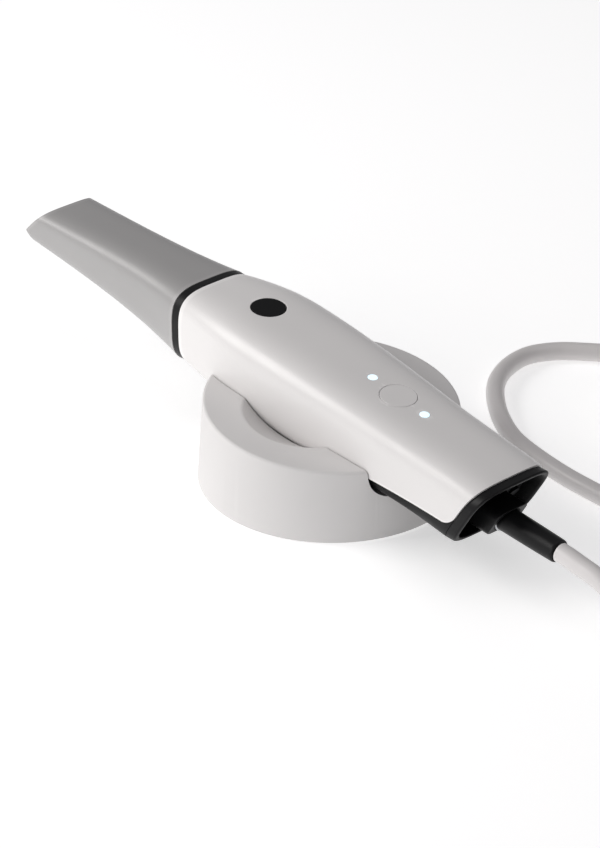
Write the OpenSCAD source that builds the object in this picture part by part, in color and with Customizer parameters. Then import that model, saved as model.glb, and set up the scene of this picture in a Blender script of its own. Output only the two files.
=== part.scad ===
// Handheld 3-D intraoral camera lying in its round desk cradle, with its cable.
// X runs along the handpiece, tip towards -X and cable towards +X. Z is up.
// The origin is the middle of the cradle's foot, on the table.

/* [Cradle] */
// Diameter of the cradle at the table
cradle_d = 91.2; // [85:0.1:115]
// Height of the cradle's top face above its middle
cradle_h = 28.7; // [26:0.1:32]
// Slope of the top face, fall per mm towards the cable
cradle_fall = 0.07; // [0:0.01:0.1]
// Inward draft of the cradle's wall, per mm of height
cradle_draft = 0.069; // [0:0.001:0.1]
// Thickness of the cradle's wall
cradle_wall = 3.2; // [2:0.1:4]
// Gap between the handpiece and the trough it lies in
trough_gap = 0.4; // [0.3:0.1:1]
// Radius of each finger scoop, as a ball
scoop_r = 34.5; // [28:0.5:40]
// Depth of each finger scoop below the top face, at its deepest
scoop_depth = 8.8; // [7:0.1:10]
// Thickness of the rubber foot
foot_t = 1.5; // [1:0.1:3]
// Height of the cradle's wall above the table, with the foot standing on it
foot_out = 0.5; // [0.3:0.1:1]
// Thickness of the cradle's base plate
plate_t = 2; // [1.5:0.1:3]
// Gap between the steel weight and the screw posts
ballast_gap = 3.8; // [1:0.1:8]
// Height of the steel weight
ballast_h = 6; // [3:0.5:7]

/* [Handpiece body] */
// Distance from the cradle's middle to the collar end of the body
body_front = 59.8; // [54:0.1:66]
// Distance from the cradle's middle to the cable end of the white shell, at mid-height
body_rear = 78.4; // [70:0.1:92]
// Greatest width of the body
body_w = 43.6; // [38:0.1:50]
// Width of the body at the cable end
tail_w = 35.6; // [30:0.1:42]
// Highest point of the back above the table
crest_z = 52.2; // [49:0.1:56]
// Top of the body at the cable end, above the table
tail_top_z = 37.5; // [36:0.1:44]
// Underside of the body at the cable end, above the table
tail_bottom_z = 11.8; // [9:0.1:14]
// Height of the seam between the shells at the collar
seam_front_z = 24.4; // [23.8:0.1:25]
// Height of the seam at the cable end
seam_rear_z = 21.3; // [18:0.1:24]
// How far the seam dips at the middle, where the finger scoops show the body's side
seam_dip = 3.4; // [0:0.1:3.6]
// Thickness of the shells
shell_wall = 1.8; // [1.2:0.1:2.4]
// How far the black lower shell sits in from the white one
shell_step = 0.6; // [0.2:0.1:1]
// Lean of the cable end, mm of length per mm of height
end_lean = 0.6; // [0:0.1:0.8]
// How far the black rim stands out past the white shell
rim_out = 4.4; // [2:0.1:7]
// Radius of the white shell's lower corner at the cable end
corner_r = 4; // [2:0.1:6]
// Depth of the recess in the cable end
recess_depth = 5.6; // [3:0.1:8]

/* [Collar and tip] */
// Width of the black collar
collar_w = 34.6; // [30:0.1:38]
// Top of the collar above the table
collar_top_z = 51; // [48:0.1:54]
// Underside of the collar above the table
collar_bottom_z = 21.8; // [19:0.1:25]
// Thickness of the collar along the handpiece
collar_t = 3.7; // [1:0.1:4]
// Length of the removable tip, from collar to its far end
tip_len = 88.5; // [80:0.1:105]
// Width of the tip near its far end
tip_w = 26; // [18:0.1:30]
// Top of the tip at its far end, above the table
tip_top_z = 50.6; // [48:0.1:54]
// Underside of the tip at its far end, above the table
tip_bottom_z = 35.4; // [32:0.1:40]
// Thickness of the tip's wall
tip_wall = 1.6; // [1:0.1:2]
// Length of the spigot that the tip slides on
spigot_len = 24; // [15:1:30]
// Gap between the spigot and the tip
spigot_gap = 0.35; // [0.2:0.05:0.6]
// Length of the scanning window in the tip's underside
window_len = 17; // [12:0.5:20]
// Width of the scanning window
window_w = 18; // [12:0.5:20]

/* [Buttons and lights] */
// Distance of the scan button from the cradle's middle, towards the tip
scan_x = 32.2; // [24:0.1:40]
// Diameter of the scan button
scan_d = 12.1; // [9:0.1:15]
// Distance of the function button from the cradle's middle, towards the cable
function_x = 32.9; // [26:0.1:38]
// Diameter of the function button
function_d = 12.6; // [9:0.1:15]
// Gap round each button
button_gap = 0.2; // [0.1:0.05:0.4]
// Thickness of each button's cap
button_t = 2.4; // [1.5:0.1:3]
// Travel of each button
button_travel = 0.5; // [0.3:0.1:1]
// Diameter of each status light
light_d = 3.3; // [2:0.1:5]
// Distance from the function button to each light
light_spacing = 12.7; // [10:0.1:16]

/* [Cable] */
// Diameter of the cable
cord_d = 6.7; // [5:0.1:7]
// Width of the connector collar
port_w = 13.6; // [12.5:0.1:18]
// Height of the connector collar
port_h = 11; // [10.5:0.1:14]
// Diameter of the metal nose of the cable's plug
nose_d = 9.6; // [8:0.1:10]
// Diameter of the plug's grip where it leaves the handpiece
grip_d = 8.6; // [7.5:0.1:9]
// Length of the plug's grip
grip_len = 24; // [18:1:32]
// Mean diameter of the stored coil
coil_d = 74; // [67:1:80]

/* [Hidden] */
// Roundness of the section: 2 is an ellipse, higher is squarer
round_top = 3.7;
round_under = 3.1;
round_tail = 4.2;
lean_z = 25;
lean_start = 45;
widest_x = -25;
crest_x = -38;
belly = 0.9;
seam_gap = 0.1;
arc_steps = 20;
front_x = -body_front;
collar_x = front_x - collar_t;
tip_x = collar_x - tip_len;
rim_x = body_rear + rim_out;
// Button and light axes follow the back's slope
scan_tilt = 4.3;
function_tilt = 7.7;
// Where the cable's plug leaves the connector collar
exit_x = 85;
exit_z = 20.9;
exit_tilt = 3.3;
port_len = 10.5;
$fn = 64;

function ease(t) = (1 - cos(180 * max(0, min(1, t)))) / 2;
function spow(v, e) = sign(v) * pow(abs(v), e);

// Outline of the body: half width, top and underside at a place along it
function body_half(x) = x < widest_x
    ? collar_w / 2 + (body_w - collar_w) / 2 * sin(90 * (x - front_x) / (widest_x - front_x))
    : body_w / 2 - (body_w - tail_w) / 2 * ease((x - widest_x) / (body_rear - widest_x));
function body_top(x) = x < crest_x
    ? crest_z - (crest_z - collar_top_z) * pow((crest_x - x) / (crest_x - front_x), 2)
    : crest_z - (crest_z - tail_top_z) * pow((x - crest_x) / (body_rear - crest_x), 1.35);
function body_along(x) = (x - front_x) / (body_rear - front_x);
function body_bottom(x) = collar_bottom_z + (tail_bottom_z - collar_bottom_z) * body_along(x)
    - belly * sin(360 * body_along(x));
// The seam turns up round the white shell's corner at the cable end
corner_x = body_rear - corner_r;
function corner_rise(x) = x <= corner_x ? 0
    : corner_r - sqrt(max(0, corner_r * corner_r - (x - corner_x) * (x - corner_x)));
dip_xs = [-44, 42];
function dip_at(x) = x < dip_xs[0] || x > dip_xs[1] ? 0
    : seam_dip * pow(sin(180 * (x - dip_xs[0]) / (dip_xs[1] - dip_xs[0])), 2);
function seam_z(x) = seam_front_z - (seam_front_z - seam_rear_z) * pow(body_along(x), 2.5)
    - dip_at(x) + corner_rise(x);

// Outline of the tip
function tip_along(x) = (collar_x - x) / tip_len;
function tip_half(x) = tip_w / 2 + (collar_w - tip_w) / 2 * pow(1 - tip_along(x), 4);
function tip_top(x) = collar_top_z + (tip_top_z - collar_top_z) * tip_along(x);
function tip_bottom(x) = collar_bottom_z + (tip_bottom_z - collar_bottom_z) * tip_along(x)
    + belly * sin(180 * tip_along(x));

// The whole outline in one list: [half width, top, underside], less an inset
function outline(x, inset) = x < collar_x
    ? [tip_half(x) - inset, tip_top(x) - inset, tip_bottom(x) + inset]
    : [body_half(max(x, front_x)) - inset, body_top(max(x, front_x)) - inset,
       body_bottom(max(x, front_x)) + inset];
function under_round(x) = round_under + (round_tail - round_under) * ease((x - front_x) / 100);
function roundness(x, a) = sin(a) >= 0 ? round_top : under_round(x);

// A point of the section at angle a, leaning back near the cable end
function lean_at(x) = end_lean * ease((x - lean_start) / (body_rear - lean_start));
function section_point(x, inset, a) = let(
    o = outline(x, inset),
    e = 2 / roundness(x, a),
    z = (o[1] + o[2]) / 2 + (o[1] - o[2]) / 2 * spow(sin(a), e))
    [x + lean_at(x) * (z - lean_z), o[0] * spow(cos(a), e), z];
// The angle at which the section crosses a height
function angle_at(x, inset, z) = let(
    o = outline(x, inset),
    v = (z - (o[1] + o[2]) / 2) / ((o[1] - o[2]) / 2))
    asin(spow(v, (v >= 0 ? round_top : under_round(x)) / 2));

function arc_points(x, inset, from, to, steps = arc_steps) =
    [for (i = [0 : steps]) section_point(x, inset, from + (to - from) * i / steps)];
function loop_points(x, inset, steps = 2 * arc_steps) =
    [for (i = [0 : steps - 1]) section_point(x, inset, 360 * i / steps)];

// Two triangles between neighbouring points of two rings, each ring n points from start a or b
function strip(a, b, n) = [for (i = [0 : n - 1]) let(j = (i + 1) % n)
    each [[a + i, b + j, a + j], [a + i, b + i, b + j]]];

// Closes a ring of an even number of points, across from its first half to its second
function cap(a, n) = [for (i = [0 : n / 2 - 2])
    each [[a + i, a + i + 1, a + n - 1 - i], [a + i + 1, a + n - 2 - i, a + n - 1 - i]]];
function turned(faces) = [for (f = faces) [f[0], f[2], f[1]]];

// Skin over a list of rings of equal length, closed at both ends
module loft(rings) {
    n = len(rings[0]);
    last = len(rings) - 1;
    sides = [for (k = [0 : last - 1]) each strip(k * n, (k + 1) * n, n)];
    polyhedron(points = [for (r = rings) each r],
        faces = concat(sides, cap(0, n), turned(cap(last * n, n))), convexity = 8);
}

// Skin over outer and inner rings, open through the middle
module tube_loft(outer, inner) {
    n = len(outer[0]);
    last = len(outer) - 1;
    base = n * (last + 1);
    outside = [for (k = [0 : last - 1]) each strip(k * n, (k + 1) * n, n)];
    inside = [for (k = [0 : last - 1]) each strip(base + (k + 1) * n, base + k * n, n)];
    front = strip(base, 0, n);
    back = strip(last * n, base + last * n, n);
    polyhedron(points = concat([for (r = outer) each r], [for (r = inner) each r]),
        faces = concat(outside, inside, front, back), convexity = 8);
}

// Half shell between the seam on one side and the seam on the other
function shell_ring(x, inset, wall, z, from_top) = let(
    a = angle_at(x, inset, z),
    b = angle_at(x, inset + wall, z),
    outer = from_top ? arc_points(x, inset, a, 180 - a) : arc_points(x, inset, 180 - a, 360 + a),
    inner = from_top ? arc_points(x, inset + wall, 180 - b, b)
        : arc_points(x, inset + wall, 360 + b, 180 - b))
    concat(outer, inner);

// Places things on the back, square to its surface
module on_back(x, tilt) {
    translate([x, 0, body_top(x)]) rotate([0, tilt, 0]) children();
}
// Places things on the cable's exit axis, with local Z pointing out
module on_exit(d) {
    translate([exit_x, 0, exit_z]) rotate([0, 90 + exit_tilt, 0]) translate([0, 0, d]) children();
}
module rounded_bar(w, h, len, r) {
    linear_extrude(len) {
        square([h, w - 2 * r], center = true);
        square([h - 2 * r, w], center = true);
        for (sx = [-1, 1]) for (sy = [-1, 1])
            translate([sx * (h / 2 - r), sy * (w / 2 - r)]) circle(r);
    }
}

// ---- Cradle ----
cavity_r = cradle_d / 2 - cradle_wall;
plate_r = cavity_r - 0.3;
foot_r = plate_r - 0.2;
post_r = 3.2;
screw_ring_r = cavity_r - post_r - 2.6;
ballast_d = 2 * (screw_ring_r - post_r - ballast_gap);
cavity_h = 11;
// How high the cradle's wall is turned before the top face is cut
blank_h = cradle_h + cradle_fall * cradle_d / 2 + 1;
trough_xs = [for (i = [0 : 14]) -cradle_d / 2 - 6 + i * (cradle_d + 12) / 14];

// Half width of the trough at a height: the handpiece's section, straight up above its widest
trough_steps = 17;
trough_up = 30;
function trough_ring(x) = let(
    o = outline(x, -trough_gap),
    side_y = o[0] + 0.02,
    top_z = (o[1] + o[2]) / 2 + trough_up,
    low = [for (i = [0 : trough_steps]) section_point(x, -trough_gap, 180 + 180 * i / trough_steps)])
    concat([for (p = low) [x, p[1], p[2]]], [[x, side_y, top_z], [x, -side_y, top_z]]);

module top_face_cut() {
    rotate([0, atan(cradle_fall), 0]) translate([-cradle_d, -cradle_d, cradle_h * cos(atan(cradle_fall))])
        cube([2 * cradle_d, 2 * cradle_d, 40]);
}
// How far out the middle of each scoop is
scoop_y = 9.3;
module finger_scoops() {
    for (s = [-1, 1])
        translate([0, s * scoop_y, cradle_h - scoop_depth + scoop_r]) sphere(scoop_r, $fn = 96);
}
// The base plate's screws and the holes they use
plate_screw_r = 1;
plate_screw_len = 7;
plate_head_r = 2.6;
plate_head_h = 0.6;
module cradle_screw_spots() {
    for (a = [45 : 90 : 315]) rotate(a) translate([screw_ring_r, 0, 0]) children();
}
module cradle_shell() {
    color("gainsboro") difference() {
        rotate_extrude($fn = 128) polygon([
            [0, foot_out], [cradle_d / 2 - cradle_draft * foot_out, foot_out],
            [cradle_d / 2 - cradle_draft * blank_h, blank_h], [0, blank_h]]);
        top_face_cut();
        loft([for (x = trough_xs) trough_ring(x)]);
        finger_scoops();
        difference() {
            translate([0, 0, -1]) cylinder(h = cavity_h + 1, r = cavity_r);
            cradle_screw_spots() translate([0, 0, foot_t + plate_t]) cylinder(h = 30, r = post_r);
        }
        cradle_screw_spots() cylinder(h = 9, r = plate_screw_r + 0.1);
    }
}
module cradle_base_plate() {
    color("dimgray") translate([0, 0, foot_t]) difference() {
        cylinder(h = plate_t - 0.05, r = plate_r);
        cradle_screw_spots() translate([0, 0, -1]) cylinder(h = plate_t + 2, r = plate_screw_r + 0.7);
    }
}
module cradle_ballast() {
    color("silver") translate([0, 0, foot_t + plate_t])
        cylinder(h = ballast_h, d1 = ballast_d, d2 = ballast_d - 2);
}
module cradle_screws() {
    color("darkgray") cradle_screw_spots() {
        translate([0, 0, foot_t - plate_head_h]) cylinder(h = plate_head_h, r = plate_head_r);
        translate([0, 0, foot_t - 0.1]) cylinder(h = plate_screw_len, r = plate_screw_r);
    }
}
module foot_pad() {
    color("black") difference() {
        cylinder(h = foot_t - 0.02, r = foot_r);
        cradle_screw_spots() translate([0, 0, foot_t - plate_head_h - 0.15])
            cylinder(h = 2, r = plate_head_r + 0.4);
    }
}

// ---- Handpiece shells ----
// Places of the rings along the body, closer together towards the collar
body_steps = 18;
body_xs = concat(
    [for (i = [0 : body_steps - 1]) front_x + (corner_x - front_x) * pow(i / body_steps, 1.15)],
    [for (a = [0 : 22.5 : 90]) corner_x + corner_r * sin(a)]);

module upper_shell() {
    color("whitesmoke") difference() {
        loft([for (x = body_xs) shell_ring(x, 0, shell_wall, seam_z(x) + seam_gap, true)]);
        on_back(-scan_x, scan_tilt) cylinder(h = 8, d = scan_d + 2 * button_gap, center = true);
        on_back(function_x, function_tilt) {
            cylinder(h = 8, d = function_d + 2 * button_gap, center = true);
            for (s = [-1, 1]) translate([s * light_spacing, 0, 0])
                cylinder(h = 10, d = light_d + 0.1, center = true);
        }
    }
}
lower_screw_xs = [-30, 60];
lower_screw_y = 9;
lower_screw_r = 1.1;
lower_screw_z = shell_step + shell_wall + 1;
module lower_screw_spots() {
    for (x = lower_screw_xs) for (s = [-1, 1])
        translate([x, s * lower_screw_y, body_bottom(x)]) children();
}
module lower_shell() {
    color("#1a1a1a") difference() {
        loft([for (x = body_xs) shell_ring(x, shell_step, shell_wall, seam_z(x) - seam_gap, false)]);
        lower_screw_spots() cylinder(h = 12, r = lower_screw_r + 0.05, center = true);
    }
}
module shell_screws() {
    color("darkgray") lower_screw_spots() {
        translate([0, 0, lower_screw_z]) cylinder(h = 1.4, r = lower_screw_r + 0.9);
        translate([0, 0, shell_step + 0.3]) cylinder(h = shell_wall + 0.8, r = lower_screw_r);
    }
}
// Black rim round the cable end, with a tongue that sits inside both shells
tongue = 7;
tongue_inset = shell_wall + shell_step + 0.15;
rim_wall = 1.6;
rim_places = [[body_rear - tongue, tongue_inset], [body_rear + 0.05, tongue_inset],
    [body_rear + 0.1, shell_step], [rim_x - 0.6, shell_step], [rim_x, shell_step + 0.5]];
function rim_ring(x, inset) = [for (p = loop_points(min(x, body_rear), inset))
    p + [max(0, x - body_rear), 0, 0]];
module rear_rim() {
    color("#161616") tube_loft([for (p = rim_places) rim_ring(p[0], p[1])],
        [for (p = rim_places) rim_ring(p[0], max(shell_step + rim_wall, tongue_inset + 1.2))]);
}
panel_x = rim_x - recess_depth;
panel_t = 1.6;
panel_inset = tongue_inset + 1.3;
rib_count = 5;
rib_pitch = 4.4;
rib_size = [4, 0.8, 2];
rib_z = 31;
// Places things on the panel's leaning face, with local Z pointing out of it
module on_panel(y, z) {
    translate([panel_x + end_lean * (z - lean_z), y, z]) rotate([0, 90 + atan(end_lean), 0]) children();
}
// Beside the connector collar
panel_screw_y = port_w / 2 + 3.7;
panel_screw_z = 24;
module end_panel() {
    color("#0e0e0e") difference() {
        union() {
            loft([for (x = [panel_x - panel_t, panel_x]) rim_ring(x, panel_inset)]);
            for (i = [0 : rib_count - 1])
                on_panel((i - (rib_count - 1) / 2) * rib_pitch, rib_z) cube(rib_size, center = true);
        }
        on_exit(-25) rounded_bar(port_w + 0.2, port_h + 0.2, 40, 2.5);
        on_panel(panel_screw_y, panel_screw_z) cylinder(h = 16, r = 1.1, center = true);
    }
}
module panel_screw() {
    color("dimgray") on_panel(panel_screw_y, panel_screw_z) {
        translate([0, 0, 0.05]) cylinder(h = 0.9, r = 1.9);
        translate([0, 0, -5]) cylinder(h = 5.1, r = 0.95);
    }
}
module connector_collar() {
    color("#151515") difference() {
        on_exit(-port_len) rounded_bar(port_w, port_h, port_len + 6, 2.6);
        on_exit(-port_len - 1) cylinder(h = port_len + 12, d = nose_d + 0.2);
        // The mouth leans as the cable end does
        translate([exit_x, 0, exit_z]) rotate([0, atan(end_lean), 0]) translate([0, -20, -20]) cube(40);
    }
}

// ---- Nose of the handpiece ----
spigot_inset = tip_wall + spigot_gap;
spigot_wall = 1.8;
// How far the black collar sits in from the white shell
ring_inset = 0.1;
module tip_collar() {
    color("#121212") tube_loft(
        [for (x = [collar_x + 0.1, front_x]) loop_points(x, ring_inset)],
        [for (x = [collar_x + 0.1, front_x]) loop_points(x, spigot_inset + spigot_wall)]);
}
spigot_xs = [for (i = [0 : 5]) collar_x - spigot_len * (1 - i / 5)];
module nose_spigot() {
    color("#2a2a2a") tube_loft(
        [for (x = spigot_xs) loop_points(x, spigot_inset + (x < spigot_xs[1] ? 0.4 : 0))],
        [for (x = spigot_xs) loop_points(x, spigot_inset + spigot_wall)]);
}
// Heights of the opening inside the spigot at its far end
spigot_clear_z = [tip_bottom(spigot_xs[0]) + spigot_inset + spigot_wall,
    tip_top(spigot_xs[0]) - spigot_inset - spigot_wall];
window_xs = [spigot_xs[0] + 0.8, spigot_xs[0] + 2];
module nose_window() {
    color("lightblue") loft([for (x = window_xs) loop_points(x, spigot_inset + spigot_wall + 0.05, 32)]);
}

// ---- Removable tip ----
tip_xs = [for (i = [0 : 12]) tip_x + (tip_len - 0.1) * i / 12];
mirror_t = 1.1;
mirror_w = tip_w - 2 * tip_wall - 4.6;
mirror_len = 11.8;
// The mirror stays this far above the sleeve's floor
mirror_clear = 2.2;
// The tip's end slopes at 45 degrees from here, and the mirror lies inside it
tip_slope_x = tip_x + 9.5;
module tip_slope(d) {
    translate([tip_slope_x, 0, tip_top_z]) rotate([0, -45, 0]) translate([-60, -40, -d]) cube([120, 80, 60]);
}
module tip_solid(xs, inset) {
    difference() {
        loft([for (x = xs) loop_points(x, inset)]);
        tip_slope(inset);
    }
}
// resize() with zeros keeps every size and makes the sleeve one mesh
module tip_sleeve() {
    color("darkgray") resize([0, 0, 0]) difference() {
        tip_solid(tip_xs, 0);
        difference() {
            tip_solid(concat(tip_xs, [collar_x + 1]), tip_wall);
            translate([tip_x - 1, -40, 0]) cube([1 + tip_wall, 80, 80]);
        }
        translate([tip_x + 4, -window_w / 2, tip_bottom_z - 6]) cube([window_len, window_w, 9]);
    }
}
module tip_mirror() {
    color("lightcyan") intersection() {
        translate([tip_slope_x, 0, tip_top_z]) rotate([0, -45, 0])
            translate([-14, -mirror_w / 2, -tip_wall - 0.05 - mirror_t]) cube([mirror_len, mirror_w, mirror_t]);
        translate([tip_x + tip_wall + 0.3, -20, tip_bottom_z + tip_wall + mirror_clear]) cube([30, 40, 11]);
    }
}

// ---- Buttons and lights ----
module button(d) {
    translate([0, 0, -button_t]) cylinder(h = button_t, d = d);
    translate([0, 0, -button_t - 1.2]) cylinder(h = 1.3, d = d + 1.4);
    translate([0, 0, -button_t - 2]) cylinder(h = 1, d = 3);
}
module scan_button() {
    color("black") on_back(-scan_x, scan_tilt) button(scan_d);
}
module function_button() {
    color("whitesmoke") on_back(function_x, function_tilt) button(function_d);
}
module status_lights() {
    color("lightcyan") on_back(function_x, function_tilt) for (s = [-1, 1])
        translate([s * light_spacing, 0, -5.5]) cylinder(h = 5.5, d = light_d);
}
// Depth of each button board below the back
board_depth = button_t + 2 + button_travel + 2.6;
board_t = 1.2;
module button_board(w) {
    translate([0, 0, -board_depth - board_t / 2]) cube([w, 15, board_t], center = true);
}
module switch_block() {
    translate([0, 0, -board_depth + 1]) cube([6, 6, 2], center = true);
    translate([0, 0, -board_depth + 1.9]) cylinder(h = 0.6, d = 3);
}
module scan_board() {
    color("green") on_back(-scan_x, scan_tilt) button_board(16);
}
module function_board() {
    color("green") on_back(function_x, function_tilt) button_board(2 * light_spacing + 6);
}
module scan_switch() {
    color("silver") on_back(-scan_x, scan_tilt) switch_block();
}
module function_switch() {
    color("silver") on_back(function_x, function_tilt) switch_block();
}

// ---- Optics and electronics ----
bench_z = 27;
bench_side = 4.3;
bench_w = collar_w - 2 * bench_side;
bench_rail = 2;
bench_x = front_x + 3;
bench_len = 44;
lens_z = (spigot_clear_z[0] + spigot_clear_z[1]) / 2 + 0.5;
module optical_bench() {
    color("silver") {
        translate([bench_x, -bench_w / 2, bench_z]) cube([bench_len, bench_w, 2]);
        for (s = [-1, 1])
            translate([bench_x, (s * (bench_w - bench_rail) - bench_rail) / 2, bench_z + 1])
            cube([bench_len, bench_rail, 7]);
    }
}
projector_w = 8.4;
projector_x = front_x + 8;
module_z = bench_z + 2.02;
module projector_module() {
    color("dimgray") translate([projector_x, -projector_w / 2, module_z]) cube([26, projector_w, 13]);
}
module lens_barrel(x, y, d, len) {
    translate([x - len, y, lens_z]) rotate([0, 90, 0]) difference() {
        union() {
            cylinder(h = len - 0.02, d = d);
            translate([0, 0, 0.5]) cylinder(h = 3, d = d + 1);
        }
        translate([0, 0, -1]) cylinder(h = 2, d = d - 1.6);
    }
}
// Each camera fills the space between the projector and the bench's rail
camera_in = projector_w / 2 + 0.2;
camera_out = bench_w / 2 - bench_rail - 0.2;
camera_w = camera_out - camera_in;
camera_y = (camera_in + camera_out) / 2;
camera_lens_d = camera_w - 1.8;
camera_x = projector_x + 2;
camera_lens_len = 18;
module projector_lens() {
    color("black") lens_barrel(projector_x, 0, 6.4, 20);
}
module camera_module(s) {
    translate([camera_x, s * camera_y - camera_w / 2, module_z]) cube([14, camera_w, 12]);
}
module left_camera() {
    color("darkslategray") camera_module(-1);
}
module right_camera() {
    color("darkslategray") camera_module(1);
}
module left_lens() {
    color("black") lens_barrel(camera_x, -camera_y, camera_lens_d, camera_lens_len);
}
module right_lens() {
    color("black") lens_barrel(camera_x, camera_y, camera_lens_d, camera_lens_len);
}
main_z = 29;
main_x = -8;
main_len = 74;
main_w = 26;
module main_board() {
    color("darkgreen") {
        translate([main_x, -main_w / 2, main_z]) cube([main_len, main_w, 1.6]);
        translate([main_x + 12, -8, main_z + 1.5]) cube([16, 16, 1.8]);
        translate([main_x + 36, -6, main_z + 1.5]) cube([10, 12, 1.4]);
        for (i = [0 : 3]) translate([main_x + 52, -10 + i * 5.5, main_z + 1.5]) cube([5, 3.5, 1.2]);
    }
}
sink = [40, 22, 2];
fin_count = 7;
fin_t = 1.2;
module heat_sink() {
    color("silver") translate([main_x + 6, -sink[1] / 2, main_z - sink[2] - 0.02]) {
        cube(sink);
        for (i = [0 : fin_count - 1])
            translate([0, i * (sink[1] - fin_t) / (fin_count - 1), -3.98]) cube([sink[0], fin_t, 4.1]);
    }
}
socket_len = 6;
module usb_socket() {
    color("silver") difference() {
        on_exit(-port_len - socket_len - 0.02) cylinder(h = socket_len, d = nose_d + 1.6);
        on_exit(-port_len - 2) cylinder(h = 4, d = nose_d - 2);
    }
}

// ---- Cable ----
plug_depth = port_len - 0.3;
module plug_nose() {
    color("silver") on_exit(-plug_depth) difference() {
        cylinder(h = plug_depth - 0.6, d = nose_d);
        translate([0, 0, -1]) cylinder(h = 5, d = nose_d - 2);
    }
}
module plug_grip() {
    color("#111111") on_exit(-0.6) {
        cylinder(h = grip_len - 0.2, d1 = grip_d, d2 = grip_d - 0.5);
        translate([0, 0, grip_len - 0.2]) cylinder(h = 0.8, d1 = grip_d - 0.5, d2 = cord_d + 0.5);
    }
}

// Where the grip ends, and the route that the cable takes from it to the coil
rest_z = 3.4;
cord_route = [[109, 0, 19.5], [113, 0, 19.2], [118, 0, 18.5], [126, 0, 17.4], [135, 0, 14.5], [145, 2, 10.5],
    [154, 6, 7], [162, 13, 4.4], [166, 21, rest_z], [167, 29, rest_z], [164, 40, rest_z], [155, 49, rest_z],
    [142, 54, rest_z], [126, 55.5, rest_z], [108, 55.5, rest_z], [90, 55, rest_z], [74, 54.8, rest_z],
    [58, 55, rest_z], [42, 56.8, rest_z], [28, 60, rest_z], [15, 66.5, rest_z], [3.5, 75, rest_z],
    [-5, 84, rest_z], [-10.3, 94.5, rest_z], [-11.7, 106, rest_z], [-7, 116.5, rest_z], [1.5, 125, rest_z],
    [10.5, 133, rest_z], [20, 142.5, rest_z], [31, 154, rest_z], [45, 163, rest_z], [59, 169, rest_z],
    [72, 171, rest_z]];
coil_centre = [72, 134, 0];
coil_lift = 1;
// Turns side by side, and layers
coil_across = 3;
coil_layers = 3;
coil_w = coil_across * cord_d + 0.6;
coil_h = coil_layers * cord_d;
coil_corner = cord_d / 4;
// The far end leaves the coil's outer turn and runs towards -Y
end_x = coil_centre[0] + coil_d / 2 + cord_d;
end_y = coil_centre[1];
cord_end_y = end_y - 18;

function unit(v) = v / norm(v);
function heading(p, i) = unit(p[min(i + 1, len(p) - 1)] - p[max(i - 1, 0)]);
// Smooth route through the points, with some steps between each two
function smooth(p, steps) = [for (i = [0 : len(p) - 2]) for (k = [0 : steps - (i == len(p) - 2 ? 0 : 1)]) let(
    t = k / steps,
    a = p[max(i - 1, 0)], b = p[i], c = p[i + 1], d = p[min(i + 2, len(p) - 1)])
    0.5 * (2 * b + (c - a) * t + (2 * a - 5 * b + 4 * c - d) * t * t + (3 * b - a - 3 * c + d) * t * t * t)];
module sweep(p, d, sides) {
    loft([for (i = [0 : len(p) - 1]) let(
        h = heading(p, i), side = unit(cross([0, 0, 1], h)), up = cross(h, side))
        [for (k = [0 : sides - 1]) let(a = 360 * (k + 0.5) / sides)
            p[i] + d / 2 / cos(180 / sides) * (cos(a) * side + sin(a) * up)]]);
}
module cord_tube() {
    color("gainsboro") {
        sweep(smooth(cord_route, 2), cord_d, 8);
        sweep([for (i = [0 : 3]) [end_x, end_y + (cord_end_y - end_y) * i / 3, rest_z]], cord_d, 8);
    }
}
module cord_coil() {
    color("gainsboro") translate(coil_centre + [0, 0, coil_lift])
        rotate_extrude($fn = 96) translate([coil_d / 2, coil_h / 2]) {
            square([coil_w, coil_h - 2 * coil_corner], center = true);
            square([coil_w - 2 * coil_corner, coil_h], center = true);
            for (sx = [-1, 1]) for (sy = [-1, 1])
                translate([sx * (coil_w / 2 - coil_corner), sy * (coil_h / 2 - coil_corner)])
                    circle(coil_corner, $fn = 24);
        }
}
tie_t = 0.8;
tie_width = 9;
// Clear of the coil's curve inside and outside, and close to it above and below
tie_hole = [coil_w + 1.1, tie_width + 1, coil_h + 0.2];
module cord_tie() {
    color("black") translate(coil_centre + [-coil_d / 2, 0, coil_lift + coil_h / 2]) difference() {
        cube([tie_hole[0] + 2 * tie_t, tie_width, tie_hole[2] + 2 * tie_t], center = true);
        cube(tie_hole, center = true);
    }
}
usb_relief_len = 14;
usb_body = [16, 24, 8.4];
usb_shell_size = [12, 12, 4.5];
usb_z = usb_body[2] / 2 + 0.05;
module usb_relief() {
    color("#111111") translate([end_x, cord_end_y, usb_z]) rotate([90, 0, 0])
        cylinder(h = usb_relief_len, d1 = cord_d + 0.6, d2 = usb_body[2] - 0.2);
}
module usb_plug() {
    color("#111111") translate([end_x, cord_end_y - usb_relief_len - usb_body[1] / 2, usb_z])
        rotate([90, 0, 0]) translate([0, 0, -usb_body[1] / 2]) rotate(90)
            rounded_bar(usb_body[0], usb_body[2], usb_body[1], 2);
}
module usb_shell() {
    shell_y = cord_end_y - usb_relief_len - usb_body[1] - usb_shell_size[1] / 2;
    color("silver") translate([end_x, shell_y, usb_z]) difference() {
        cube(usb_shell_size, center = true);
        translate([0, -0.5, 0.6]) cube(usb_shell_size - [0.8, 0, 2], center = true);
    }
}

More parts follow.
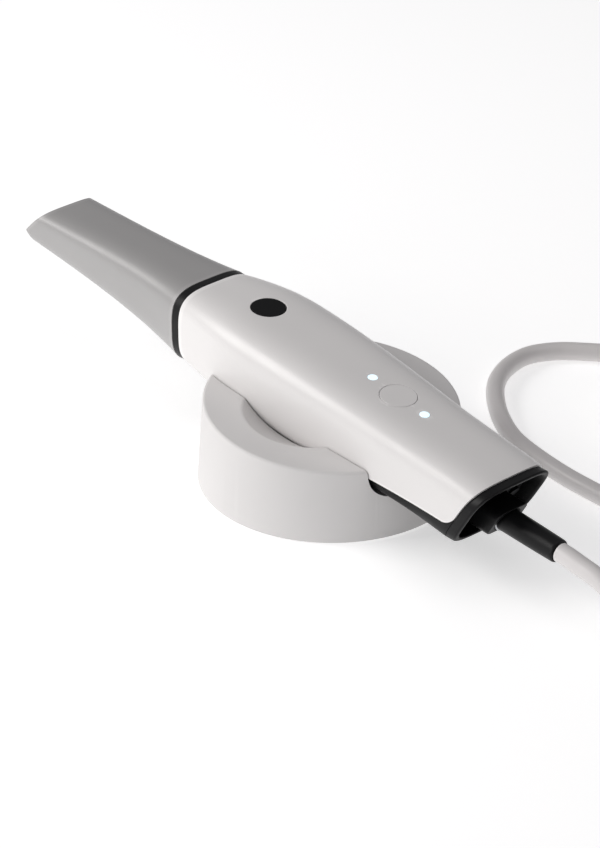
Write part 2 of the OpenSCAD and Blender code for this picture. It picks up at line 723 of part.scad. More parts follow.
cradle_shell();
cradle_base_plate();
cradle_ballast();
cradle_screws();
foot_pad();
upper_shell();
lower_shell();
shell_screws();
rear_rim();
end_panel();
panel_screw();
connector_collar();
tip_collar();
nose_spigot();
nose_window();
tip_sleeve();
tip_mirror();
scan_button();
function_button();
status_lights();
scan_board();
function_board();
scan_switch();
function_switch();
optical_bench();
projector_module();
projector_lens();
left_camera();
right_camera();
left_lens();
right_lens();
main_board();
heat_sink();
usb_socket();
plug_nose();
plug_grip();
cord_tube();
cord_coil();
cord_tie();
usb_relief();
usb_plug();
usb_shell();
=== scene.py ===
# %% [markdown]
# # A handheld dental camera in its desk cradle
# This notebook dresses a finished CAD model. The CAD parts fix every size and place, and each cell below
# makes one visible piece or one finish. Sizes are in millimetres until a mesh is made, then in metres.
# A shell of this kind could be drawn as a CAD surface, sculpted, or wrapped from a flat grid. The grid is
# used here, because every point of it can be pressed onto one exact outline.

# %% Load the frame
from math import asin, atan, atan2, cos, pi, radians, sin, sqrt

import bmesh
import bpy
from mathutils import Matrix, Vector


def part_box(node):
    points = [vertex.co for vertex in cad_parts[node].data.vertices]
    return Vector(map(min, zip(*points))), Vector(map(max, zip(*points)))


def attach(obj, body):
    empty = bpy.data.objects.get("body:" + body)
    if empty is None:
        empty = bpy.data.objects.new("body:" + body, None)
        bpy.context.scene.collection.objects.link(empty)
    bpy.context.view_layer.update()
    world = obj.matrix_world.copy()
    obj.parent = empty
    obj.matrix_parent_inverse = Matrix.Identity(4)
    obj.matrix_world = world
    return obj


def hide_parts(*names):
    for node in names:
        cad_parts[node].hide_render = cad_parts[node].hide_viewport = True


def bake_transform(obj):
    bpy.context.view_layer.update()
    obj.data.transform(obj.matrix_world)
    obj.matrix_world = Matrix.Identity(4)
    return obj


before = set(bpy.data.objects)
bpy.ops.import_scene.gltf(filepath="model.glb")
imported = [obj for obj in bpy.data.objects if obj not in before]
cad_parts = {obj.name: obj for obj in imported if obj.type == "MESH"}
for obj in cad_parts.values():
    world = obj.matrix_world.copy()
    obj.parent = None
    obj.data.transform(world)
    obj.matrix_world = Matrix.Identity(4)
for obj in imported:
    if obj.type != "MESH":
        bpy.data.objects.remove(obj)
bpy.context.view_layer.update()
MM = 0.001

# %% [markdown]
# ## The camera and the studio
# The camera stands high in front of the cable end and looks down along the handpiece. The floor is plain
# and pale. A large soft light from the tip side makes the shoulder of the shell shine. A lower one fills
# the near side, a broad one above keeps the back a calm grey, and a weak world light fills the shadows.

# %% Camera
CAMERA_AT = (0.72139, -0.65065, 0.57282)
CAMERA_AZIMUTH = 48.576
CAMERA_ELEVATION = 29.65
LENS_MM = 140.1

lens = bpy.data.cameras.new("camera")
lens.sensor_width = 36
lens.lens = LENS_MM
lens.clip_start = 0.05
camera = bpy.data.objects.new("camera", lens)
camera.location = CAMERA_AT
camera.rotation_euler = (radians(90 - CAMERA_ELEVATION), 0, radians(CAMERA_AZIMUTH))
bpy.context.scene.collection.objects.link(camera)
bpy.context.scene.camera = camera
print("camera at", CAMERA_AT)


# %% Soft lights
def softbox(name, direction, distance, size, power, tint):
    """A square area light that faces the middle of the object from a direction."""
    light = bpy.data.lights.new(name, "AREA")
    light.shape = "SQUARE"
    light.size = size
    light.energy = power
    light.color = tint
    holder = bpy.data.objects.new(name, light)
    way = Vector(direction).normalized()
    holder.location = way * distance + Vector((0, 0, 0.03))
    holder.rotation_euler = way.to_track_quat("Z", "Y").to_euler()
    bpy.context.scene.collection.objects.link(holder)


softbox("key_light", (-0.60, -0.58, 0.55), 1.2, 0.65, 7.2, (1.0, 0.985, 0.97))
softbox("front_light", (-0.1, -0.95, 0.25), 1.5, 0.7, 4.5, (1.0, 0.99, 0.98))
softbox("top_light", (0.1, 0.15, 1.0), 1.3, 1.0, 2.0, (1.0, 0.97, 0.97))

world = bpy.data.worlds.new("studio")
bpy.context.scene.world = world
world.use_nodes = True
world.node_tree.nodes["Background"].inputs["Color"].default_value = (0.93, 0.93, 0.95, 1)
world.node_tree.nodes["Background"].inputs["Strength"].default_value = 0.3
bpy.context.scene.view_settings.view_transform = "Standard"


# %% [markdown]
# ## Small helpers
# Three helpers do most of the modelling. `wrap` presses a flat grid onto rings of points. `stack` grows a
# round piece from a disc, one extrude and one scale for each step. `change` adds a modifier and applies it.

# %% Select, apply and tidy
def only(piece):
    """Deselects everything, then selects one piece and makes it active."""
    bpy.ops.object.select_all(action="DESELECT")
    piece.select_set(True)
    bpy.context.view_layer.objects.active = piece


def change(piece, kind, **settings):
    """Adds a modifier with these settings and applies it."""
    only(piece)
    modifier = piece.modifiers.new(kind.lower(), kind)
    for setting, value in settings.items():
        setattr(modifier, setting, value)
    bpy.ops.object.modifier_apply(modifier=modifier.name)


def tidy(piece):
    """Merges doubled points and turns every face outwards."""
    only(piece)
    bpy.ops.object.mode_set(mode="EDIT")
    bpy.ops.mesh.select_all(action="SELECT")
    bpy.ops.mesh.remove_doubles(threshold=1e-6)
    bpy.ops.mesh.normals_make_consistent(inside=False)
    bpy.ops.object.mode_set(mode="OBJECT")


def soften(piece, width, steps=3, angle=40):
    """Rounds the sharp edges of a piece, then smooths its shading."""
    change(piece, "BEVEL", width=width * MM, segments=steps, limit_method="ANGLE",
           angle_limit=radians(angle), use_clamp_overlap=True)
    smooth(piece)


def smooth(piece, angle=35):
    """Smooth shading, with the large faces kept flat."""
    only(piece)
    bpy.ops.object.shade_smooth_by_angle(angle=radians(angle))
    change(piece, "WEIGHTED_NORMAL", keep_sharp=True, weight=90)


def settle(piece, place):
    """Moves a finished piece by a matrix and applies it, so that its object stays at the origin."""
    piece.matrix_world = place
    only(piece)
    bpy.ops.object.transform_apply(location=True, rotation=True, scale=True)


def cut(piece, *cutters):
    """Takes each cutter out of the piece and removes the cutter."""
    for cutter in cutters:
        change(piece, "BOOLEAN", operation="DIFFERENCE", solver="EXACT", object=cutter)
        bpy.data.objects.remove(cutter)


def new_piece(name):
    """Names the piece that was just made."""
    piece = bpy.context.active_object
    piece.name = name
    piece.data.name = name
    return piece


# %% Wrap a grid and stack a round piece
def wrap(name, rings):
    """A grid whose points are pressed onto rings of points, all with the same number of points."""
    across, along = len(rings[0]) - 1, len(rings) - 1
    bpy.ops.object.select_all(action="DESELECT")
    bpy.ops.mesh.primitive_grid_add(x_subdivisions=across, y_subdivisions=along, size=1)
    piece = new_piece(name)
    for point in piece.data.vertices:
        i, j = round((point.co.x + 0.5) * across), round((point.co.y + 0.5) * along)
        point.co = rings[j][i] * MM
    tidy(piece)
    return piece


def in_order(piece):
    """Puts points and faces in a fixed order: an extrude orders them differently each time."""
    mesh = piece.data
    spots = [point.co.copy() for point in mesh.vertices]
    order = sorted(range(len(spots)), key=lambda i: [round(c / MM, 3) for c in spots[i]])
    place = {old: new for new, old in enumerate(order)}
    faces = []
    for face in mesh.polygons:
        ring = [place[v] for v in face.vertices]
        first = ring.index(min(ring))
        faces.append(ring[first:] + ring[:first])
    mesh.clear_geometry()
    mesh.from_pydata([spots[i] for i in order], [], sorted(faces))
    mesh.update()


def stack(name, steps, sides=96):
    """A round piece along Z. Each step is a radius and a height, and grows from the face before it."""
    radius, height = steps[0]
    bpy.ops.object.select_all(action="DESELECT")
    bpy.ops.mesh.primitive_circle_add(
        vertices=sides, radius=radius * MM, fill_type="NGON", location=(0, 0, height * MM))
    bpy.ops.object.transform_apply(location=True)
    piece = new_piece(name)
    bpy.ops.object.mode_set(mode="EDIT")
    bpy.ops.mesh.select_all(action="SELECT")
    for new_radius, new_height in steps[1:]:
        rise = (0, 0, (new_height - height) * MM)
        bpy.ops.mesh.extrude_region_move(TRANSFORM_OT_translate={"value": rise})
        scale = new_radius / radius
        bpy.ops.transform.resize(value=(scale, scale, 1), center_override=(0, 0, new_height * MM))
        radius, height = new_radius, new_height
    bpy.ops.object.mode_set(mode="OBJECT")
    tidy(piece)
    in_order(piece)
    return piece


def even(points, count):
    """The same line with count + 1 points, evenly spaced along it."""
    reach = [0.0]
    for a, b in zip(points, points[1:]):
        reach.append(reach[-1] + (b - a).length)
    made, k = [], 0
    for i in range(count + 1):
        want = reach[-1] * i / count
        while k < len(points) - 2 and reach[k + 1] < want:
            k += 1
        share = (want - reach[k]) / max(reach[k + 1] - reach[k], 1e-9)
        made.append(points[k].lerp(points[k + 1], min(1, max(0, share))))
    return made


# %% [markdown]
# ## The outline of the handpiece
# Every shell of the handpiece follows one outline: a half width, a top and an underside at each place along
# it, joined by a squared-off ellipse. Its ends, width and height are read from the CAD parts, and the rest
# are the sizes that the CAD parts were drawn with.

# %% Sizes read from the frame
def reach_of(node, axis):
    """Lowest and highest place of a CAD node along an axis, in millimetres."""
    low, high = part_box(node)
    return low[axis] / MM, high[axis] / MM


FRONT_X = reach_of("upper_shell", 0)[0]
TIP_X, COLLAR_X = reach_of("tip_sleeve", 0)
TIP_GAP = 0.1
COLLAR_X += TIP_GAP
BODY_W = 2 * reach_of("upper_shell", 1)[1]
CREST_Z = reach_of("upper_shell", 2)[1]
CRADLE_R = round(reach_of("cradle_shell", 0)[1], 1)
TIP_LEN = COLLAR_X - TIP_X
BODY_REAR = 78.4
TAIL_W, COLLAR_W, TIP_W = 35.6, 34.6, 26.0
TAIL_TOP, TAIL_LOW = 37.5, 11.8
COLLAR_TOP, COLLAR_LOW = 51.0, 21.8
TIP_TOP, TIP_LOW = 50.6, 35.4
WIDEST_X, CREST_X = -25.0, -38.0
BELLY = 0.9
ROUND_TOP, ROUND_UNDER, ROUND_TAIL = 3.7, 3.1, 4.2
ROUND_OVER = 100
END_LEAN, LEAN_Z, LEAN_START = 0.6, 25.0, 45.0
SEAM_FRONT, SEAM_REAR = 24.4, 21.3
SEAM_DIP, DIP_FROM, DIP_TO = 3.4, -44, 42
CORNER_R = 4.0
CORNER_X = BODY_REAR - CORNER_R
RIM_X = BODY_REAR + 4.4
print(f"body {FRONT_X:.1f} to {BODY_REAR:.1f} mm, {BODY_W:.1f} mm wide; tip {TIP_LEN:.1f} mm long")


# %% Outline functions
def ease(t):
    """Goes from 0 to 1 with a soft start and a soft end."""
    return (1 - cos(pi * max(0, min(1, t)))) / 2


def spow(v, e):
    """A power that keeps the sign."""
    return (abs(v) ** e) * (1 if v >= 0 else -1)


def body_half(x):
    """Half width of the body: it swells from the collar, then narrows to the cable end."""
    if x < WIDEST_X:
        swell = sin(pi / 2 * (x - FRONT_X) / (WIDEST_X - FRONT_X))
        return COLLAR_W / 2 + (BODY_W - COLLAR_W) / 2 * swell
    return BODY_W / 2 - (BODY_W - TAIL_W) / 2 * ease((x - WIDEST_X) / (BODY_REAR - WIDEST_X))


def body_top(x):
    """Height of the back, which is highest at its crest."""
    if x < CREST_X:
        return CREST_Z - (CREST_Z - COLLAR_TOP) * ((CREST_X - x) / (CREST_X - FRONT_X)) ** 2
    return CREST_Z - (CREST_Z - TAIL_TOP) * ((x - CREST_X) / (BODY_REAR - CREST_X)) ** 1.35


def body_along(x):
    """How far along the body a place is, from 0 to 1."""
    return (x - FRONT_X) / (BODY_REAR - FRONT_X)


def body_low(x):
    """Height of the underside, with a slight belly."""
    return COLLAR_LOW + (TAIL_LOW - COLLAR_LOW) * body_along(x) - BELLY * sin(2 * pi * body_along(x))


def seam_z(x):
    """Height of the seam: it dips at the finger scoops, and turns up at the cable end's corner."""
    into = max(0.0, x - CORNER_X)
    rise = CORNER_R - sqrt(max(0.0, CORNER_R ** 2 - into ** 2))
    dip = 0
    if DIP_FROM < x < DIP_TO:
        dip = SEAM_DIP * sin(pi * (x - DIP_FROM) / (DIP_TO - DIP_FROM)) ** 2
    return SEAM_FRONT - (SEAM_FRONT - SEAM_REAR) * body_along(x) ** 2.5 - dip + rise


def outline(x, inset):
    """Half width, top and underside at a place, less an inset."""
    if x < COLLAR_X:
        along = (COLLAR_X - x) / TIP_LEN
        half = TIP_W / 2 + (COLLAR_W - TIP_W) / 2 * max(0, 1 - along) ** 4
        top = COLLAR_TOP + (TIP_TOP - COLLAR_TOP) * along
        low = COLLAR_LOW + (TIP_LOW - COLLAR_LOW) * along + BELLY * sin(pi * along)
    else:
        inside = max(x, FRONT_X)
        half, top, low = body_half(inside), body_top(inside), body_low(inside)
    return half - inset, top - inset, low + inset


def under_round(x):
    """How square the underside is: it gets squarer towards the cable end."""
    return ROUND_UNDER + (ROUND_TAIL - ROUND_UNDER) * ease((x - FRONT_X) / ROUND_OVER)


def section_point(x, inset, a):
    """A point of the section at angle a, leaning back near the cable end."""
    half, top, low = outline(x, inset)
    e = 2 / (ROUND_TOP if sin(a) >= 0 else under_round(x))
    z = (top + low) / 2 + (top - low) / 2 * spow(sin(a), e)
    lean = END_LEAN * ease((x - LEAN_START) / (BODY_REAR - LEAN_START))
    return Vector((x + lean * (z - LEAN_Z), half * spow(cos(a), e), z))


def angle_at(x, inset, z):
    """The angle at which the section crosses a height."""
    _, top, low = outline(x, inset)
    v = (z - (top + low) / 2) / ((top - low) / 2)
    return asin(spow(v, (ROUND_TOP if v >= 0 else under_round(x)) / 2))


# Points that a section is measured with before it is spaced out evenly
FINE = 600


def arc(x, inset, start, end, count):
    """Evenly spaced points of the section between two angles."""
    line = [section_point(x, inset, start + (end - start) * i / FINE) for i in range(FINE + 1)]
    return even(line, count)


def loop(x, inset, count, shift=0.0):
    """The whole section, closed, starting at the top; shift moves it along X."""
    return [p + Vector((shift, 0, 0)) for p in arc(x, inset, pi / 2, 5 * pi / 2, count)]


# %% [markdown]
# ## The cable
# A soft round cable, 6.7 mm thick, leaves the black grip, sinks to the table, makes one loose loop behind
# the handpiece and is wound into a neat coil for storage. Its middle line is a list of given points, and
# the coil is worked out: each turn keeps to its own place in the stack and moves to the next one
# in a short stretch, a little earlier in every turn, so that the turns never meet. A curve with a round
# bevel follows that line.

# %% Middle line of the cable
CORD_D = 6.7
REST_Z = 3.4
# The middle line up to the coil: where it sinks to the table, then where it lies on it
SINKING = [(109, 0, 19.5), (113, 0, 19.2), (118, 0, 18.5), (126, 0, 17.4), (135, 0, 14.5), (145, 2, 10.5),
           (154, 6, 7), (162, 13, 4.4)]
LYING = [(166, 21), (167, 29), (164, 40), (155, 49), (142, 54), (126, 55.5), (108, 55.5), (90, 55),
         (74, 54.8), (58, 55), (42, 56.8), (28, 60), (15, 66.5), (3.5, 75), (-5, 84), (-10.3, 94.5),
         (-11.7, 106), (-7, 116.5), (1.5, 125), (10.5, 133), (20, 142.5), (31, 154), (45, 163), (59, 169),
         (72, 171)]
ROUTE = SINKING + [(x, y, REST_Z) for x, y in LYING]
COIL_AT = Vector((72, 134, 0))
COIL_R = 37.0
COIL_LIFT, LIFT_OVER = 1.0, 60
COIL_STEP = 10
# Places of the turns in the stack: how far out from the middle turn, and which layer
TURN_PLACES = [(0, 0), (-1, 0), (-1, 1), (0, 1), (0, 2), (1, 2), (1, 1), (1, 0)]
FIRST_MOVE, MOVE_EVERY, MOVE_LENGTH = 220, 320, 40
COIL_TURN_DEG = 6 * 360 + 90


def smooth_line(points, steps):
    """A smooth line through the points."""
    points = [Vector(p) for p in points]
    line = []
    for i in range(len(points) - 1):
        a, b = points[max(i - 1, 0)], points[i]
        c, d = points[i + 1], points[min(i + 2, len(points) - 1)]
        for k in range(steps):
            t = k / steps
            line.append(0.5 * (2 * b + (c - a) * t + (2 * a - 5 * b + 4 * c - d) * t ** 2
                               + (3 * b - a - 3 * c + d) * t ** 3))
    return line + [points[-1]]


def coil_point(turned):
    """A point of the coil after so many degrees, clockwise from the far side."""
    moves = (turned - FIRST_MOVE) / MOVE_EVERY
    done = max(0, min(len(TURN_PLACES) - 2, int(moves) if moves >= 0 else 0))
    share = 0 if moves < 0 else ease((turned - FIRST_MOVE - done * MOVE_EVERY) / MOVE_LENGTH)
    a, b = TURN_PLACES[done], TURN_PLACES[min(done + 1, len(TURN_PLACES) - 1)]
    out = a[0] + (b[0] - a[0]) * share
    up = a[1] + (b[1] - a[1]) * share
    radius = COIL_R + out * CORD_D
    angle = radians(90 - turned)
    floor = REST_Z + COIL_LIFT * ease(turned / LIFT_OVER)
    return COIL_AT + Vector((radius * cos(angle), radius * sin(angle), floor + up * CORD_D))


END_X = COIL_AT.x + COIL_R + CORD_D
LAST_STRAIGHT = 18
CORD_END_Y = COIL_AT.y - LAST_STRAIGHT
coil_line = [coil_point(turned) for turned in range(COIL_STEP, COIL_TURN_DEG + 1, COIL_STEP)]
last_stretch = [Vector((END_X, COIL_AT.y + (CORD_END_Y - COIL_AT.y) * k / 3,
                        REST_Z + COIL_LIFT * (1 - ease(k / 3)))) for k in range(1, 4)]
cord_line = smooth_line(ROUTE, 6) + coil_line + last_stretch
cord_length = sum((b - a).length for a, b in zip(cord_line, cord_line[1:])) * MM
print(f"cable: {len(cord_line)} points, {cord_length:.3f} m")


# %% Cable from its middle line
def tube(name, line, diameter, sides=6):
    """A round tube along a line of points, made as a curve and then turned into a mesh."""
    curve = bpy.data.curves.new(name, "CURVE")
    curve.dimensions = "3D"
    curve.bevel_depth = diameter / 2 * MM
    curve.bevel_resolution = sides
    curve.use_fill_caps = True
    spline = curve.splines.new("POLY")
    spline.points.add(len(line) - 1)
    for point, place in zip(spline.points, line):
        point.co = (*(place * MM), 1)
    piece = bpy.data.objects.new(name, curve)
    bpy.context.scene.collection.objects.link(piece)
    only(piece)
    bpy.ops.object.convert(target="MESH")
    piece = new_piece(name)
    tidy(piece)
    smooth(piece, 60)
    return piece


cable = tube("cable", cord_line, CORD_D)
print("cable faces:", len(cable.data.polygons))


# %% [markdown]
# ## Finishes
# Most pieces are moulded plastic. A fine spark-eroded grain gives the satin look, and a broad faint cloud
# changes the roughness a little, as handling does. Edges are a touch lighter, because that is where plastic
# wears first. The cradle has no worn edges: its long flat faces would draw the wear out into streaks.
# The patterns read Object coordinates, so they stay fixed to each piece.

# %% A node tree with its usual nodes
def start_material(name):
    """A new material, its node tree, its shader and the Object coordinates."""
    material = bpy.data.materials.new(name)
    material.use_nodes = True
    nodes, links = material.node_tree.nodes, material.node_tree.links
    shader = nodes["Principled BSDF"]
    place = nodes.new("ShaderNodeTexCoord")
    return material, nodes, links, shader, place.outputs["Object"]


def noise(nodes, links, where, size_mm, detail=2.0, stretch=(1, 1, 1)):
    """A noise pattern whose grains are about size_mm across."""
    spread = nodes.new("ShaderNodeMapping")
    spread.inputs["Scale"].default_value = [1 / (size_mm * MM * s) for s in stretch]
    pattern = nodes.new("ShaderNodeTexNoise")
    pattern.inputs["Scale"].default_value = 1
    pattern.inputs["Detail"].default_value = detail
    links.new(where, spread.inputs["Vector"])
    links.new(spread.outputs["Vector"], pattern.inputs["Vector"])
    return pattern.outputs["Fac"]


def between(nodes, links, value, low, high):
    """Maps the middle of a noise pattern onto low to high."""
    span = nodes.new("ShaderNodeMapRange")
    span.inputs["From Min"].default_value = 0.3
    span.inputs["From Max"].default_value = 0.7
    span.inputs["To Min"].default_value = low
    span.inputs["To Max"].default_value = high
    links.new(value, span.inputs["Value"])
    return span.outputs["Result"]


def shades(nodes, links, value, colour, other):
    """A colour that changes with a pattern."""
    mix = nodes.new("ShaderNodeMix")
    mix.data_type = "RGBA"
    mix.inputs["A"].default_value = (*colour, 1)
    mix.inputs["B"].default_value = (*other, 1)
    links.new(value, mix.inputs["Factor"])
    return mix.outputs["Result"]


def raised(nodes, links, shader, height, depth_mm, strength=1.0):
    """Bump of a real depth."""
    bump = nodes.new("ShaderNodeBump")
    bump.inputs["Distance"].default_value = depth_mm * MM
    bump.inputs["Strength"].default_value = strength
    links.new(height, bump.inputs["Height"])
    links.new(bump.outputs["Normal"], shader.inputs["Normal"])


# %% Moulded plastic
CLOUD_MM, SMUDGE_MM = 30, 12
RIDGE_FROM, RIDGE_TO = 0.53, 0.60
COAT_ROUGH = 0.34


def moulded(name, colour, rough, grain=0.35, depth=0.006, worn=1.08, specular=0.5, coat=0.0):
    """Grained plastic. worn is how much lighter its edges are."""
    material, nodes, links, shader, where = start_material(name)
    cloud = noise(nodes, links, where, CLOUD_MM, 3)
    body = shades(nodes, links, between(nodes, links, cloud, 0, 1), colour, [c * 0.97 for c in colour])
    edge = nodes.new("ShaderNodeNewGeometry").outputs["Pointiness"]
    ridge = nodes.new("ShaderNodeMapRange")
    ridge.inputs["From Min"].default_value = RIDGE_FROM
    ridge.inputs["From Max"].default_value = RIDGE_TO
    links.new(edge, ridge.inputs["Value"])
    worn_mix = nodes.new("ShaderNodeMix")
    worn_mix.data_type = "RGBA"
    worn_mix.inputs["B"].default_value = (*[min(1, c * worn + 0.004) for c in colour], 1)
    links.new(ridge.outputs["Result"], worn_mix.inputs["Factor"])
    links.new(body, worn_mix.inputs["A"])
    links.new(worn_mix.outputs["Result"], shader.inputs["Base Color"])
    smudge = noise(nodes, links, where, SMUDGE_MM, 4)
    links.new(between(nodes, links, smudge, rough - 0.05, rough + 0.05), shader.inputs["Roughness"])
    raised(nodes, links, shader, noise(nodes, links, where, grain, 2), depth)
    shader.inputs["Specular IOR Level"].default_value = specular
    if coat:
        shader.inputs["Coat Weight"].default_value = coat
        shader.inputs["Coat Roughness"].default_value = COAT_ROUGH
    return material


white_shell = moulded("white_shell", (0.77, 0.752, 0.745), 0.34, coat=0.3)
cradle_white = moulded("cradle_white", (0.71, 0.695, 0.69), 0.55, worn=1.0, specular=0.25)
tip_grey = moulded("tip_grey", (0.345, 0.338, 0.336), 0.4, coat=0.5)
black_body = moulded("black_body", (0.005, 0.005, 0.0055), 0.4, worn=2.2, specular=0.16)
recess_black = moulded("recess_black", (0.004, 0.004, 0.0045), 0.5, worn=2.0, specular=0.12)
button_black = moulded("button_black", (0.004, 0.004, 0.0045), 0.5, grain=0.25, worn=2.5, specular=0.14)
grip_black = moulded("grip_black", (0.0045, 0.0045, 0.005), 0.36, grain=0.5, worn=2.0, specular=0.2)
cable_grey = moulded("cable_grey", (0.70, 0.675, 0.67), 0.38, grain=0.6, depth=0.01, coat=0.2)
plate_grey = moulded("plate_grey", (0.10, 0.10, 0.105), 0.5)
foot_rubber = moulded("foot_rubber", (0.02, 0.02, 0.02), 0.8, grain=0.8, depth=0.03)
board_green = moulded("board_green", (0.02, 0.12, 0.05), 0.35, grain=1.2, depth=0.02)
lens_black = moulded("lens_black", (0.01, 0.01, 0.012), 0.2, grain=0.2, depth=0.003)
print("plastics:", [m.name for m in bpy.data.materials])


# %% Metals
def turned_metal(name, colour, rough, stretch=(1, 1, 1), grain=0.3):
    """Machined or pressed metal, with fine marks drawn out along one way."""
    material, nodes, links, shader, where = start_material(name)
    marks = noise(nodes, links, where, grain, 4, stretch)
    links.new(shades(nodes, links, marks, colour, [c * 0.85 for c in colour]), shader.inputs["Base Color"])
    links.new(between(nodes, links, marks, rough - 0.07, rough + 0.07), shader.inputs["Roughness"])
    raised(nodes, links, shader, marks, 0.004)
    shader.inputs["Metallic"].default_value = 1.0
    return material


plug_steel = turned_metal("plug_steel", (0.62, 0.63, 0.65), 0.3, (12, 1, 1))
screw_steel = turned_metal("screw_steel", (0.45, 0.45, 0.47), 0.35)
black_screw = turned_metal("black_screw", (0.02, 0.02, 0.022), 0.5)
bench_aluminium = turned_metal("bench_aluminium", (0.7, 0.7, 0.71), 0.38, (20, 1, 1))
weight_steel = turned_metal("weight_steel", (0.4, 0.4, 0.41), 0.45, (1, 1, 8))
mirror_face = turned_metal("mirror_face", (0.93, 0.94, 0.95), 0.1, grain=4)
print("metals:", [m.name for m in bpy.data.materials if "steel" in m.name])


# %% Glass, lights and strap
def clear_glass(name):
    """Clear glass, faintly tinted and faintly smeared."""
    material, nodes, links, shader, where = start_material(name)
    shader.inputs["Transmission Weight"].default_value = 0.9
    shader.inputs["IOR"].default_value = 1.5
    tint = shades(nodes, links, noise(nodes, links, where, 8), (0.75, 0.85, 0.9), (0.7, 0.82, 0.88))
    links.new(tint, shader.inputs["Base Color"])
    links.new(between(nodes, links, noise(nodes, links, where, 3), 0.02, 0.08), shader.inputs["Roughness"])
    return material


def glowing(name):
    """A frosted light window with a lamp behind it: a little uneven, as a diffuser is."""
    material, nodes, links, shader, where = start_material(name)
    cloud = noise(nodes, links, where, 1.2, 3)
    links.new(shades(nodes, links, cloud, (0.80, 0.95, 1.0), (0.68, 0.88, 1.0)),
              shader.inputs["Base Color"])
    links.new(shades(nodes, links, cloud, (0.74, 0.93, 1.0), (0.60, 0.86, 1.0)),
              shader.inputs["Emission Color"])
    shader.inputs["Emission Strength"].default_value = 0.75
    links.new(between(nodes, links, cloud, 0.3, 0.45), shader.inputs["Roughness"])
    raised(nodes, links, shader, cloud, 0.004)
    return material


def woven(name, colour, thread_mm):
    """Hook-and-loop strap: crossed threads with a soft nap."""
    material, nodes, links, shader, where = start_material(name)
    threads = nodes.new("ShaderNodeTexWave")
    threads.inputs["Scale"].default_value = 1 / (thread_mm * MM)
    threads.inputs["Distortion"].default_value = 1.5
    links.new(where, threads.inputs["Vector"])
    links.new(shades(nodes, links, threads.outputs["Fac"], colour, [c * 1.8 for c in colour]),
              shader.inputs["Base Color"])
    nap = noise(nodes, links, where, 0.4, 4)
    links.new(between(nodes, links, nap, 0.75, 0.95), shader.inputs["Roughness"])
    raised(nodes, links, shader, nap, 0.12)
    shader.inputs["Sheen Weight"].default_value = 0.4
    return material


window_glass = clear_glass("window_glass")
light_window = glowing("light_window")
strap_weave = woven("strap_weave", (0.02, 0.02, 0.022), 0.7)
print("finishes in all:", len(bpy.data.materials))


# %% Put a finish on a piece and hide the CAD parts that it stands for
def dress(piece, material, body=None, nodes=()):
    """Gives a piece its finish and its body, and hides the CAD nodes that it stands for."""
    piece.data.materials.clear()
    piece.data.materials.append(material)
    if body:
        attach(piece, body)
    if nodes:
        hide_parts(*nodes)


# %% [markdown]
# ## White upper shell
# The main cover is one thin moulding from seam to seam over the back, with openings for the two buttons and
# the two lights. The grid is wrapped first, then given its wall by Solidify. The openings are cut with plugs
# whose tops flare, so each hole has the small rounded lip of a real moulding.

# %% Shell rings
SHELL_WALL = 1.8
SHELL_STEP = 0.6
SEAM_GAP = 0.1
SHELL_ACROSS, SHELL_ALONG = 110, 90
body_xs = [FRONT_X + (CORNER_X - FRONT_X) * i / SHELL_ALONG for i in range(SHELL_ALONG)]
body_xs += [CORNER_X + CORNER_R * sin(radians(a)) for a in range(0, 91, 6)]


def upper_ring(x):
    """The section above the seam."""
    a = angle_at(x, 0, seam_z(x) + SEAM_GAP)
    return arc(x, 0, a, pi - a, SHELL_ACROSS)


def lower_ring(x):
    """The section below the seam, a little further in."""
    a = angle_at(x, SHELL_STEP, seam_z(x) - SEAM_GAP)
    return arc(x, SHELL_STEP, pi - a, 2 * pi + a, SHELL_ACROSS)


upper = wrap("upper_cover", [upper_ring(x) for x in body_xs])
change(upper, "SOLIDIFY", thickness=SHELL_WALL * MM, offset=-1, use_even_offset=True)
print("upper cover:", len(upper.data.polygons), "faces")

# %% Places on the back
SCAN_X, SCAN_TILT = -32.2, 4.3
FUNCTION_X, FUNCTION_TILT = 32.9, 7.7
LIGHT_SPACING = 12.7
SCAN_R, FUNCTION_R, LIGHT_R = 6.05, 6.3, 1.65
SCAN_GAP, FUNCTION_GAP, LIGHT_GAP = 0.2, 0.12, 0.03
SCAN_LIP, FUNCTION_LIP, LIGHT_LIP = 0.35, 0.18, 0.1


def on_back(x, tilt, along=0.0):
    """A place on the back, square to its surface, moved along it."""
    stand = Matrix.Translation(Vector((x, 0, body_top(x))) * MM)
    return stand @ Matrix.Rotation(radians(tilt), 4, "Y") @ Matrix.Translation((along * MM, 0, 0))


def hole_plug(radius, lip):
    """A plug with a flared top, which cuts a hole with a rounded lip."""
    steps = [(radius, -6), (radius, -lip)]
    for a in (25, 50, 75, 90):
        steps.append((radius + lip * (1 - cos(radians(a))), -lip + lip * sin(radians(a))))
    return stack("hole_plug", steps + [(radius + lip + 2, 2)])


openings = [(SCAN_X, SCAN_TILT, 0, SCAN_R + SCAN_GAP, SCAN_LIP),
            (FUNCTION_X, FUNCTION_TILT, 0, FUNCTION_R + FUNCTION_GAP, FUNCTION_LIP),
            (FUNCTION_X, FUNCTION_TILT, -LIGHT_SPACING, LIGHT_R + LIGHT_GAP, LIGHT_LIP),
            (FUNCTION_X, FUNCTION_TILT, LIGHT_SPACING, LIGHT_R + LIGHT_GAP, LIGHT_LIP)]
for x, tilt, along, radius, lip in openings:
    plug = hole_plug(radius, lip)
    settle(plug, on_back(x, tilt, along))
    cut(upper, plug)
soften(upper, 0.5, 4, 60)
dress(upper, white_shell, "handpiece", ["upper_shell"])
print("upper cover with openings:", len(upper.data.polygons), "faces")

# %% [markdown]
# ## Black lower shell
# The lower cover sits 0.6 mm further in, so a fine step runs along the seam. At the cable end it turns up
# round the white shell's corner. It is wrapped in the same way, from seam to seam under the body, and its
# four screw wells are cut with plain discs.

# %% Lower cover
WELL_XS, WELL_Y, WELL_R, WELL_REACH = (-30, 60), 9, 1.4, 4

